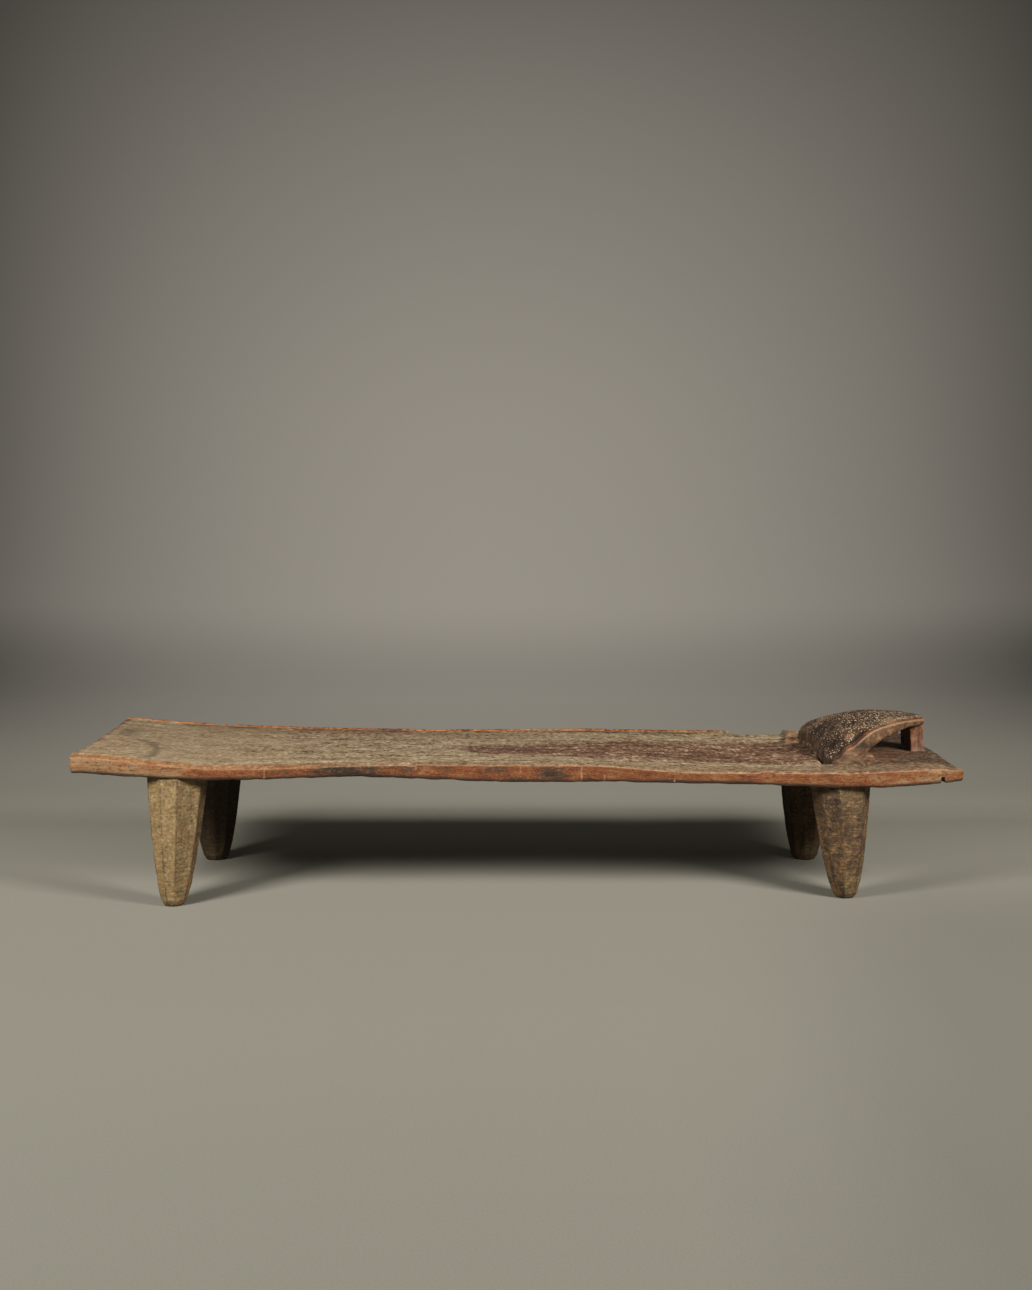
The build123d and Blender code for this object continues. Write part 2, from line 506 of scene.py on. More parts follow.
def head_sides():
    """Where the headrest's front and rear sides stand, at places along X."""
    xs = np.linspace(head_cad.low.x + 0.002, head_cad.high.x - 0.001, OUTLINE_PLACES)
    lines = []
    for way in (-1, 1):
        line = []
        for x in xs:
            inner, outer = 0.0, way * OUTLINE_SEARCH
            for _ in range(OUTLINE_HALVINGS):
                middle = (inner + outer) / 2
                if np.isnan(head_cad.height(np.array([x]), np.array([middle]))[0]):
                    outer = middle
                else:
                    inner = middle
            line.append(inner)
        lines.append(np.array(line))
    return xs, lines[0], lines[1]


headrest_sides = head_sides()


# ---- board

board_cad = CadShape("platform")
HALF_LENGTH = board_cad.high.x
HALF_WIDTH = board_cad.high.y
TOP_TO_BOTTOM = 0.985  # the underside is narrower than the top by this factor
SIDE_ROWS = 12
SIDE_SHARES = np.arange(1, SIDE_ROWS + 1) / (SIDE_ROWS + 1)
STEP_ALONG = 0.0066
STEP_ACROSS = 0.0105
END_SKEW = 0.004  # the foot end runs slightly askew
SKEW_START = -0.9
CORNER_RUN = 0.03  # how far from an end its corners start to be rounded
FOOT_CORNER = 0.005  # how far the corners are rounded at each end
HEAD_CORNER = 0.014
NOTCH_X = 1.016
NOTCH_SIZE = (0.010, 0.026, 0.014)  # along, inwards and up
LEDGE_X = 0.779  # the lying surface ends here, in a shallow arc across the board
LEDGE_Y = 0.10
LEDGE_BEND = 0.33
STUB_Y = 0.146  # the broken stub of the rear rim starts here, beside the headrest
STUB_LEFT = (0.724, 0.235)  # where its sides stand at that place, and their slant
STUB_RIGHT = (0.760, 0.22)

# heights and depths on the board's top
GRAIN_HEIGHT = 0.0009
HOLLOW_HEIGHT = 0.0016
LIP_HEIGHT = 0.0040
STEP_DEPTH = 0.0050
FRONT_GROOVE = 0.0030
REAR_GROOVE = 0.0040
PAD_HEIGHT = 0.007
PAD_SWELL = 0.004
STUB_HEIGHT = 0.006
STUB_EDGE_HEIGHT = 0.003

# wear on the board's sides, underside and edges
RIM_ANGLE = 35
SIDE_HEWN = 0.0011
SIDE_FINE = 0.0004
UNDER_HEWN = 0.0020
EDGE_LOSS = 0.0014


def board_plan(u, y):
    """Where a point u along the board and y across it lies along X, with its ends shaped."""
    skew = END_SKEW * (y / HALF_WIDTH) * ease(SKEW_START, -HALF_LENGTH, u)
    reach = np.where(u < 0, FOOT_CORNER, HEAD_CORNER)
    corner = np.clip(np.abs(y) - (HALF_WIDTH - reach), 0, reach) / reach
    cut = reach * (1 - np.sqrt(1 - corner**2))
    pull = cut * ease(HALF_LENGTH - CORNER_RUN, HALF_LENGTH, np.abs(u)) * np.sign(u)
    return np.where(u < 0, u * (HALF_LENGTH - END_SKEW) / HALF_LENGTH, u) - skew - pull


def ledge(y):
    """Where the lying surface ends, at places across the board."""
    return LEDGE_X - LEDGE_BEND * (y - LEDGE_Y) ** 2


def inside_headrest(x, y):
    """How far a point is inside the headrest's plan outline, negative outside its sides."""
    xs, front, rear = headrest_sides
    return np.minimum(y - np.interp(x, xs, front), np.interp(x, xs, rear) - y)


def stub_side(side, y):
    """Where a side of the rear rim's broken stub stands along X."""
    start, slant = side
    return start + slant * (y - STUB_Y)


def stub_face(x, y):
    """1 on the pale broken face of the rear rim's stub, 0 around it."""
    behind = ease(-0.003, 0.002, x - stub_side(STUB_LEFT, y))
    before = ease(0.004, -0.002, x - stub_side(STUB_RIGHT, y))
    return behind * before * ease(0.138, 0.150, y)


def board_relief(x, y):
    """What the carver and the wear add to the board's top, in metres up."""
    points = np.stack([x, y, np.zeros_like(x)], -1).reshape(-1, 3)
    inside = ease(0.335, 0.30, np.abs(y))
    grain = rough(points, (0.30, 0.014, 1), 3).reshape(x.shape)
    hollows = rough(points, (0.11, 0.055, 1), 2, 7.0).reshape(x.shape)
    lift = inside * (GRAIN_HEIGHT * grain + HOLLOW_HEIGHT * hollows)
    # the lying surface ends in a rounded lip with a groove behind it, in front of the headrest
    beyond = x - ledge(y) - 0.002 * hollows
    across = ease(-0.330, -0.27, y) * ease(0.215, 0.195, y)
    lift += across * LIP_HEIGHT * ease(-0.07, -0.012, beyond) * ease(0.002, -0.005, beyond)
    depth = STEP_DEPTH * (0.2 + 0.8 * ease(-0.21, -0.11, y))
    lift -= across * depth * ease(-0.002, 0.003, beyond) * ease(0.030, 0.005, beyond)
    # a groove inside the front rim near the head, and one along the rear rim
    lift -= FRONT_GROOVE * bell(y, -0.318, 0.007) * ease(0.55, 0.66, x) * ease(0.75, 0.73, x)
    lift -= REAR_GROOVE * bell(y, 0.319 + 0.002 * hollows, 0.008) * ease(0.62, 0.58, x)
    # the board rises a little to meet the headrest's sides
    pad = ease(-0.045, 0.004, inside_headrest(x, y)) * ease(0.785, 0.83, x) * ease(0.94, 0.85, x)
    lift += (PAD_HEIGHT + PAD_SWELL * bell(x, 0.865, 0.06)) * pad
    # the stub of the rear rim, a ramp beside the headrest
    ramp = stub_face(x, y)
    lift += ramp * STUB_HEIGHT * ease(0.145, 0.25, y) * ease(0.335, 0.29, y)
    lift += STUB_EDGE_HEIGHT * bell(x - stub_side(STUB_LEFT, y), -0.012, 0.022) * ease(0.20, 0.28, y)
    return lift


# pale upright scratches on the front side: x, and the heights that each runs between
SCRATCHES = [
    (-0.681, 0.322, 0.330), (-0.602, 0.308, 0.332), (-0.241, 0.330, 0.345), (0.007, 0.322, 0.337),
    (0.098, 0.335, 0.345), (0.151, 0.304, 0.338), (0.205, 0.304, 0.316), (0.375, 0.298, 0.306),
]


def make_board_points():
    """The board as loops of points across it, one loop for each place along it."""
    along = spread(-HALF_LENGTH, HALF_LENGTH, STEP_ALONG, [
        (-HALF_LENGTH, 0.03, 0.0015), (HALF_LENGTH, 0.04, 0.0015), (0.755, 0.06, 0.0022),
        (NOTCH_X - 0.005, 0.008, 0.0010), (NOTCH_X + 0.005, 0.008, 0.0010),
        (0.603, 0.02, 0.003), (0.748, 0.02, 0.002), (0.790, 0.02, 0.002),
        *((scratch[0], 0.009, 0.0012) for scratch in SCRATCHES),
    ])
    across = spread(-HALF_WIDTH, HALF_WIDTH, STEP_ACROSS, [
        (-HALF_WIDTH, 0.065, 0.0022), (HALF_WIDTH, 0.06, 0.0022),
    ])
    u, y = np.meshgrid(along, across, indexing="ij")
    x = board_plan(u, y)
    inner_x = np.clip(x, -HALF_LENGTH + 0.0095, HALF_LENGTH - 0.0005)
    inner_y = np.clip(y, -HALF_WIDTH + 0.0016, HALF_WIDTH - 0.0016)
    top = board_cad.height(inner_x, inner_y) + board_relief(x, y)
    low_y = y * TOP_TO_BOTTOM
    under = board_cad.height(inner_x, np.clip(low_y, -0.334, 0.334), down=False)
    upper = np.stack([x, y, top], -1)
    lower = np.stack([x, low_y, under], -1)[:, ::-1]
    share = SIDE_SHARES[None, :, None]
    rear = upper[:, -1:] * (1 - share) + lower[:, :1] * share
    front = lower[:, -1:] * (1 - share) + upper[:, :1] * share
    return np.concatenate([upper, rear, lower, front], 1), len(across)


def cut_notch(loops):
    """A small square notch in the front side's lower edge."""
    width, depth, height = NOTCH_SIZE
    near = np.abs(loops[:, :, 0] - NOTCH_X) < width / 2
    y, z = loops[:, :, 1].copy(), loops[:, :, 2].copy()
    column = int(np.argmin(np.abs(loops[:, 0, 0] - NOTCH_X)))
    bottom = loops[column, :, 2].min()
    roof = bottom + height
    front = y[column].min()
    side = near & (y < front + 0.006) & (z < roof)
    under = near & (y < front + depth) & (z < bottom + 0.004) & ~side
    fall = np.clip((roof - z) / height, 0, 1)
    loops[:, :, 1] = np.where(side, front + 0.004 + depth * fall, loops[:, :, 1])
    loops[:, :, 2] = np.where(side, roof, loops[:, :, 2])
    inward = np.clip((y - front) / depth, 0, 1)
    loops[:, :, 1] = np.where(under, front + depth, loops[:, :, 1])
    loops[:, :, 2] = np.where(under, roof - height * inward, loops[:, :, 2])


# chips broken out of the edges: x, y, z of the middle, reach along and across, depth
CHIPS = [
    (-0.795, -0.334, 0.352, 0.016, 0.014, 0.005),
    (-0.772, -0.334, 0.350, 0.014, 0.014, 0.005),
    (-0.812, 0.336, 0.362, 0.013, 0.016, 0.008),
    (-0.782, 0.336, 0.360, 0.012, 0.016, 0.007),
    (-0.217, 0.336, 0.345, 0.026, 0.012, 0.004),
    (0.122, 0.336, 0.345, 0.010, 0.012, 0.005),
    (0.270, 0.336, 0.343, 0.009, 0.012, 0.005),
    (0.588, -0.338, 0.322, 0.014, 0.012, 0.005),
    (0.602, -0.338, 0.316, 0.010, 0.010, 0.004),
    (-0.385, -0.336, 0.308, 0.085, 0.014, 0.004),
    (0.101, -0.338, 0.339, 0.014, 0.010, 0.003),
    (-0.251, -0.338, 0.340, 0.014, 0.010, 0.004),
]


def make_board_mesh(loops, columns):
    """A closed mesh over the loops with a grid over each end, and where its vertices are."""
    count, around = loops.shape[:2]
    flat = loops.reshape(-1, 3)
    points = [flat]
    index = np.arange(count * around).reshape(count, around)
    faces = [quads(np.concatenate([index, index[:, :1]], 1))]
    made = count * around
    for end, flip in ((0, False), (count - 1, True)):
        loop = index[end]
        grid = np.zeros((SIDE_ROWS + 2, columns), int)
        grid[0] = loop[:columns]
        grid[-1] = loop[columns + SIDE_ROWS:2 * columns + SIDE_ROWS][::-1]
        grid[1:-1, -1] = loop[columns:columns + SIDE_ROWS]
        grid[1:-1, 0] = loop[2 * columns + SIDE_ROWS:][::-1]
        inner = np.arange(SIDE_ROWS * (columns - 2)).reshape(SIDE_ROWS, -1) + made
        grid[1:-1, 1:-1] = inner
        share = SIDE_SHARES[:, None, None]
        cap = flat[grid[0, 1:-1]][None] * (1 - share) + flat[grid[-1, 1:-1]][None] * share
        points.append(cap.reshape(-1, 3))
        made += inner.size
        cap_faces = quads(grid)
        faces.append(cap_faces[:, ::-1] if flip else cap_faces)
    co = np.concatenate(points)
    mesh = bpy.data.meshes.new("platform_carved")
    mesh.from_pydata(co.tolist(), [], np.concatenate(faces).tolist())
    return mesh, co


def wear_board(board, co):
    """Rounds the edges, hews the sides and chips the board; also how far each vertex was from an edge."""
    edges = board_cad.sharp_edges(RIM_ANGLE)
    away = np.array([edges.find(p)[2] for p in co.tolist()])
    in_notch = (np.abs(co[:, 0] - NOTCH_X) < 0.024) & (co[:, 1] < -0.30) & (co[:, 2] < 0.322)
    weight = ease(0.010, 0.003, away) * np.where(in_notch, 0.04, 0.6)
    co = smoothed(board, co, 5, weight[:, None])
    place(board, co)
    out = rows(board, "normal")
    sideways = ease(0.5, 0.8, np.abs(out[:, 1])) + ease(0.5, 0.8, np.abs(out[:, 0]))
    hewn = rough(co, (0.045, 0.03, 0.03), 3, 3.0)
    fine = rough(co, (0.012, 0.008, 0.006), 2, 5.0)
    below = ease(-0.4, -0.8, out[:, 2])
    lift = sideways * (SIDE_HEWN * hewn + SIDE_FINE * fine) + below * (UNDER_HEWN * hewn)
    edge_wear = ease(0.008, 0.0, away)
    lift = lift - edge_wear * EDGE_LOSS * np.clip(rough(co, (0.03, 0.02, 0.02), 3, 11.0) + 0.1, 0, 1)
    co = co + out * np.where(in_notch, 0.0, lift)[:, None]
    for x, y, z, long, wide, depth in CHIPS:
        gap = ((co[:, 0] - x) / long) ** 2 + ((co[:, 1] - y) / wide) ** 2 + ((co[:, 2] - z) / wide) ** 2
        dent = depth * np.clip(1 - gap, 0, 1) ** 0.7
        co[:, 1] -= np.sign(y) * dent * 0.7
        co[:, 2] -= dent * np.where(z > 0.325, 1.0, -1.0) * 0.8
    place(board, co)
    return co, away


def mark_sides(board, co, up, wander):
    """Stores where the hewn sides, the rims and the underside show, with painted shade on the underside and
    along the front side's lower edge.
    """
    x, y, z = co.T
    edge_line = -0.316 + 0.010 * wander + 0.012 * ease(0.2, 0.6, x)
    bevel = ease(edge_line + 0.004, edge_line - 0.004, y) * ease(-0.25, -0.55, x)
    lip = ease(0.311, 0.318, y + 0.006 * wander - 0.006 * ease(-0.5, -0.7, x)) * ease(0.60, 0.55, x)
    side = np.maximum(ease(0.62, 0.40, up), np.maximum(bevel, lip) * (up > 0))
    mask(board, "side", side)
    upper = ease(0.5, 0.7, up)
    mask(board, "lip", lip * upper * (0.65 + 0.35 * ease(-0.8, -0.5, x)))
    mask(board, "bevel", bevel * upper)
    # painted shade on the faces that point down
    mask(board, "below", ease(-0.3, -0.7, up))
    xs = np.linspace(-HALF_LENGTH + 0.01, HALF_LENGTH - 0.001, 120)
    xs = xs[np.abs(xs - NOTCH_X) > 0.010]
    low_edge = np.interp(x, xs, board_cad.height(xs, np.full(len(xs), -0.333), down=False))
    # painted shade: a dark line along the front side's lower edge
    mask(board, "low_edge", ease(0.011, 0.003, z - low_edge + 0.003 * wander) * ease(0.7, 0.4, up))
    mask(board, "end_edge", ease(-1.048, -1.058, x + 0.004 * wander) * upper * (y > -0.30))


# the stained middle of the board: x, and where its front and rear borders run
STAIN = [
    (-0.10, -0.10, 0.03), (0.10, -0.14, 0.09), (0.25, -0.165, 0.120), (0.50, -0.140, 0.150),
    (0.80, -0.180, 0.205),
]


def mark_top(board, co, up, wander):
    """Stores where the lying surface is brown, stained or dark."""
    x, y = co[:, 0], co[:, 1]
    rear_band = 0.25 + 0.75 * ease(-0.88, -0.80, x) * ease(0.1, -0.45, x)
    rear_band = ease(0.225, 0.275, y + 0.02 * wander) * rear_band
    brown = 0.5 * ease(-0.05, 0.30, y) * ease(-0.75, -0.40, x) * ease(0.25, -0.05, x)
    forward = 0.8 * ease(-0.18, -0.26, y) * ease(0.05, 0.40, x)
    rim = ease(-0.288, -0.312, y + 0.006 * wander) * ease(-0.60, -0.40, x) * (up > 0.3)
    brown = np.maximum(np.maximum(rear_band * ease(0.6, 0.5, x), brown), forward)
    mask(board, "brown", np.maximum(brown, rim))
    mask(board, "worked", ease(-0.80, -0.45, x + 0.1 * wander))
    start = ease(-0.22, -0.08, x + 0.05 * wander)
    xs, front, rear = zip(*STAIN)
    front_line = np.interp(x, xs, front)
    rear_line = np.interp(x, xs, rear)
    band = ease(front_line - 0.03, front_line + 0.03, y + 0.02 * wander)
    band = band * ease(rear_line + 0.04, rear_line - 0.04, y + 0.03 * wander)
    beyond = x - ledge(y)
    mask(board, "stain", start * band * ease(0.004, -0.004, beyond))
    front_strip = np.interp(x, [0.80, 0.90, 1.00, 1.05], [-0.255, -0.222, -0.232, -0.290])
    strip = 0.55 + 0.45 * ease(-0.022, 0.022, y + 0.010 * wander - front_strip)
    mask(board, "head", ease(-0.004, 0.004, beyond) * strip * (0.6 + 0.4 * ease(0.80, 0.85, x)))
    inside = inside_headrest(x, y) * (x > 0.80)
    shelter = ease(-0.028, -0.004, inside + 0.006 * wander) * ease(0.81, 0.85, x)
    mask(board, "shelter", shelter * ease(1.03, 0.97, x))


def mark_wear(board, co, up, wander, away):
    """Stores where the edges are rubbed, where dirt, marks and fresh breaks show, and the painted shade in
    the grooves and behind the ledge.
    """
    x, y, z = co.T
    beyond = x - ledge(y)
    worn = ease(0.0040, 0.0012, away) * ease(0.15, 0.5, up) * (0.55 + 0.45 * ease(0.60, 0.75, x))
    mask(board, "worn", worn * (y < 0))
    # painted shade: dark lines in the grooves along both rims and in the groove behind the ledge, which the
    # headrest's foot shades
    groove = bell(y, 0.300, 0.014) * ease(0.62, 0.55, x) * ease(-0.35, 0.1, wander)
    front_groove = bell(y, -0.3165, 0.008) * ease(0.55, 0.66, x) * (x < 0.75) * (up > 0.5)
    groove = np.maximum(groove, front_groove)
    step = bell(beyond, 0.010, 0.013) * ease(-0.22, -0.12, y) * ease(0.215, 0.195, y) * (up > 0)
    smudge = 0.60 * bell(np.hypot((x + 1.015) / 0.040, (y - 0.125) / 0.085) + 0.3 * wander, 0.0, 1.2)
    reach = np.hypot((x + 1.00) / 0.112, (y + 0.20) / 0.21) + 0.06 * wander
    arc = 0.60 * bell(reach, 1.0, 0.15) * ease(-0.99, -0.96, x) * ease(-0.29, -0.25, y)
    marks = np.maximum(smudge, arc) * (up > 0.3)
    broken = 0.7 * bell(x - stub_side(STUB_LEFT, y), -0.010, 0.012) * ease(0.16, 0.22, y) * (up > 0.3)
    mask(board, "grime_and_groove_shade", np.maximum.reduce([groove * 0.8, step * 0.75, marks, broken]))
    scratch = np.zeros(len(co))
    for spot, bottom, top in SCRATCHES:
        line = bell(x, spot + 0.002 * wander, 0.0024) * ease(bottom - 0.003, bottom + 0.003, z)
        scratch = np.maximum(scratch, line * ease(top + 0.003, top - 0.003, z) * (y < -0.325))
    stub = stub_face(x, y) * ease(0.332, 0.322, y) * (up > 0.3)
    mask(board, "fresh", np.maximum(stub, 0.42 * scratch))


def make_board():
    """The carved board, with everything that its colours need to know."""
    loops, columns = make_board_points()
    cut_notch(loops)
    mesh, co = make_board_mesh(loops, columns)
    board = added("platform_carved", mesh)
    fix_normals(board)
    co, away = wear_board(board, co)
    up = rows(board, "normal")[:, 2]
    wander = rough(co, (0.10, 0.05, 0.05), 3, 2.0)
    mark_sides(board, co, up, wander)
    mark_top(board, co, up, wander)
    mark_wear(board, co, up, wander, away)
    return board


# How dark the hewn front side is, from pale ochre (0) to smoked brown (1), at places along X
SIDE_SHADE = [
    (-1.06, 0.10), (-0.94, 0.10), (-0.83, 0.25), (-0.72, 0.35), (-0.62, 0.50), (-0.51, 0.45), (-0.40, 0.95),
    (-0.30, 0.75), (-0.19, 0.45), (-0.08, 0.50), (0.02, 0.62), (0.13, 0.60), (0.24, 0.48), (0.34, 0.50),
    (0.45, 0.40), (0.56, 0.38), (0.66, 0.25), (0.77, 0.40), (0.88, 0.30), (1.06, 0.18),
]


def board_wood(board):
    """Khaki to brown wood above, and hewn sides of a shade that changes along the board."""
    co = rows(board, "co")
    shade = np.interp(co[:, 0], *zip(*SIDE_SHADE)) + 0.18 * rough(co, (0.05, 0.03, 0.02), 3, 9.0)
    mask(board, "shade", shade)
    wood = Nodes("board_wood")
    streak = wood.grain((0.22, 0.045, 0.03), 4.0, 0.6, 0.4)
    dash = wood.grain((0.050, 0.024, 0.012), 3.0, 0.6, 0.2, 3.0)
    fleck = wood.grain((0.011, 0.017, 0.006), 2.0, 0.6, 0.3, 13.0)
    fine = wood.grain((0.030, 0.0035, 0.0035), 4.0, 0.65, 0.2, 5.0)
    mottle = wood.grain((0.060, 0.060, 0.030), 5.0, 0.62, 0.0, 7.0)
    speck = wood.grain((0.005, 0.005, 0.0035), 2.0, 0.6, 0.0, 11.0)
    tone = wood.sum((streak, 0.19), (dash, 0.23), (fleck, 0.32), (fine, 0.12), (speck, 0.14))
    # the foot end is an even khaki; the tone swings further towards the middle
    swing = wood.times(wood.sum((tone, 1.0), -0.5), wood.sum(("worked", 0.45), 0.55))
    top = wood.ramp(wood.sum((swing, 1.0), 0.5), (0.40, (62, 40, 25)), (0.44, (100, 73, 49)),
                    (0.475, (129, 106, 78)), (0.52, (147, 128, 99)), (0.56, (168, 147, 115)),
                    (0.60, (198, 178, 144)))
    stain = wood.ramp(tone, (0.40, (42, 25, 16)), (0.45, (74, 46, 30)), (0.49, (98, 66, 45)),
                      (0.53, (122, 90, 65)), (0.56, (148, 120, 93)), (0.60, (186, 164, 134)))
    head = wood.ramp(tone, (0.40, (36, 24, 16)), (0.46, (61, 43, 29)), (0.51, (83, 62, 43)),
                     (0.56, (106, 84, 61)), (0.61, (150, 128, 100)))
    broken = wood.sum((streak, 1.0), (dash, 1.0), -1.0)
    share = wood.rise(wood.sum(("brown", 1.0), (broken, 1.2)), 0.10, 1.10)
    color = wood.mix(wood.times(share, 0.45), top, (104, 66, 38))
    share = wood.rise(wood.sum(("stain", 1.0), (broken, 1.6)), 0.30, 0.60)
    color = wood.mix(share, color, stain)
    share = wood.rise(wood.sum(("head", 1.0), (broken, 0.8)), 0.20, 0.95)
    color = wood.mix(share, color, head)
    color = wood.cover(color, "shelter", 0.9, wood.ramp(
        tone, (0.42, (66, 43, 28)), (0.50, (94, 65, 43)), (0.58, (122, 90, 64))))

    # the hewn sides: ochre, orange brown or smoked, with pale flecks and dark pits
    shade = wood.sum(("shade", 1.0), (mottle, 1.7), (dash, 0.7), -1.20)
    sides = wood.ramp(shade, (0.05, (124, 93, 61)), (0.30, (112, 66, 30)), (0.50, (106, 54, 20)),
                      (0.75, (74, 46, 25)), (1.00, (42, 29, 19)))
    grit = wood.sum((speck, 0.45), (fleck, 0.25), (fine, 0.30))
    sides = wood.mix(wood.times(wood.rise(grit, 0.49, 0.40), 0.65), sides, (46, 30, 20))
    sides = wood.mix(wood.times(wood.rise(grit, 0.53, 0.60), 0.45), sides, (136, 99, 61))
    sides = wood.cover(sides, "bevel", 0.85, wood.ramp(
        tone, (0.42, (98, 64, 38)), (0.50, (130, 92, 58)), (0.58, (154, 120, 84))))
    sides = wood.cover(sides, "lip", 0.9, wood.ramp(
        tone, (0.43, (74, 44, 27)), (0.49, (138, 84, 46)), (0.56, (172, 118, 70))))
    # painted shade: a near-black line along the front side's lower edge
    sides = wood.cover(sides, "low_edge", 0.92, (28, 19, 13))
    # painted shade: the underside is painted darker
    sides = wood.cover(sides, "below", 0.7, (70, 50, 36))
    color = wood.mix("side", color, sides)
    color = wood.cover(color, "end_edge", 0.75, wood.ramp(
        tone, (0.44, (66, 40, 27)), (0.54, (140, 96, 66))))
    color = wood.cover(color, "fresh", 0.8, wood.ramp(
        tone, (0.42, (96, 62, 40)), (0.47, (158, 112, 76)), (0.53, (196, 150, 110)), (0.58, (216, 180, 142))))
    worn = wood.times("worn", wood.rise(dash, 0.36, 0.50))
    color = wood.mix(wood.times(worn, 0.40), color, (152, 106, 68))
    # dirt and marks, with painted shade in the grooves and behind the ledge
    color = wood.cover(color, "grime_and_groove_shade", 0.85, (44, 32, 24))
    roughness = wood.sum((mottle, 0.25), 0.60)
    height = wood.sum((fine, 0.4), (dash, 0.5), (streak, 0.4), (speck, 0.25), (fleck, 0.3))
    return wood.finish(color, roughness, height, 0.0030)


# ---- headrest

HEAD_VOXEL = 0.0024
CHAMFER_IN = 0.010
CHAMFER_DOWN = 0.0035
CREST_FOOT = 0.372  # the front crest is drawn up from here
# how much higher the front crest stands over the opening: places along X, and the rise there
CREST_X = (0.835, 0.860, 0.885, 0.910, 0.960, 0.990, 1.035)
CREST_RISE = (0.0, 0.0045, 0.0095, 0.0110, 0.0108, 0.0090, 0.0050)
FACE_DROP = 0.0095  # how much deeper the face below it hangs
ROOT_SINK = 0.010  # how far the foot of a piece is drawn into its neighbour


def make_headrest():
    """The carved headrest, with everything that its colours need to know."""
    def move(point):
        floor = board_cad.tree.find_nearest(point)[3]
        if floor < 0.0006:
            return point - Vector((0, 0, ROOT_SINK))
        if point.x > 0.89 and point.z < 0.3435:
            return point - Vector((0, 0, ROOT_SINK + 0.006))
        return point

    piece = remeshed("headrest", "headrest_carved", HEAD_VOXEL, move)
    co = rows(piece, "co")
    co = smoothed(piece, co, 4, 0.5)
    xs, front, rear = headrest_sides
    x, y, z = co.T
    front_y = np.interp(x, xs, front)
    rear_y = np.interp(x, xs, rear)
    inner_y = np.clip(y, front_y + 0.0006, rear_y - 0.0006)
    top = head_cad.height(np.clip(x, head_cad.low.x + 0.001, head_cad.high.x - 0.0005), inner_y)
    top = np.where(np.isnan(top), z, top)
    # over the opening the front crest stands higher and the face below it is deeper
    rise = np.interp(x, CREST_X, CREST_RISE)
    near_front = ease(0.10, 0.0, y - front_y)
    share = np.clip((z - CREST_FOOT) / np.maximum(top - CREST_FOOT, 0.004), 0, 1)
    co[:, 2] += rise * near_front * share
    co[:, 2] -= FACE_DROP * bell(x, 0.950, 0.045) * near_front * (1 - share) * ease(0.355, 0.370, z)
    # worn chamfers along the front and rear upper edges
    top = top + rise * near_front
    below = np.clip(top - co[:, 2], 0, 1)
    for line, way in ((front_y, 1), (rear_y, -1)):
        inward = np.clip((y - line) * way, 0, 1)
        short = np.clip(1 - inward / CHAMFER_IN - below / CHAMFER_DOWN, 0, 1)
        co[:, 1] += way * 0.5 * CHAMFER_IN * short
        co[:, 2] -= 0.5 * CHAMFER_DOWN * short
    co = smoothed(piece, co, 2, 0.4)
    place(piece, co)
    out = rows(piece, "normal")
    hewn = rough(co, (0.05, 0.035, 0.03), 3, 21.0)
    fine = rough(co, (0.010, 0.008, 0.007), 2, 23.0)
    co = co + out * (0.0010 * hewn + 0.0004 * fine)[:, None]
    place(piece, co)

    out = rows(piece, "normal")
    x, y, z = co.T
    inward = y - np.interp(x, xs, front)
    below = np.clip(top - z, 0, 1)
    upward = ease(0.05, 0.30, out[:, 2])
    mask(piece, "top", upward * ease(0.008, 0.012, inward))
    ends = ease(0.780, 0.795, x)
    mask(piece, "strip", ease(0.0105, 0.0085, inward) * ease(0.010, 0.005, below) * ends)
    # a pale line just below the front crest: rubbed wood with a painted highlight along the edge
    line = bell(below, 0.0062, 0.0028) * ease(0.010, 0.004, inward) * (0.35 + 0.65 * ease(0.82, 0.87, x))
    mask(piece, "line", line * ease(0.785, 0.81, x))
    mask(piece, "face", ease(0.3, 0.6, -out[:, 1]) * ease(0.40, 0.2, out[:, 2]) * ease(0.785, 0.800, x))
    mask(piece, "pale", ease(0.050, 0.016, inward) * upward * ease(0.86, 0.92, x))
    wedge = bell(np.hypot((x - 0.800) / 0.050, (y + 0.055) / 0.115), 0.0, 1.25)
    mask(piece, "foot", np.maximum(wedge, 0.45 * ease(0.25, 0.60, -out[:, 0])))
    mask(piece, "floor", upward * ease(0.346, 0.342, z) * ease(0.855, 0.865, x))
    mask(piece, "ruddy", bell(x, 0.815, 0.075) * ease(-0.06, 0.10, y))
    knot = np.exp(-(((x - 1.030) / 0.006) ** 2) - ((z - 0.407) / 0.006) ** 2) * (y < -0.02)
    mask(piece, "knot", knot)
    return piece


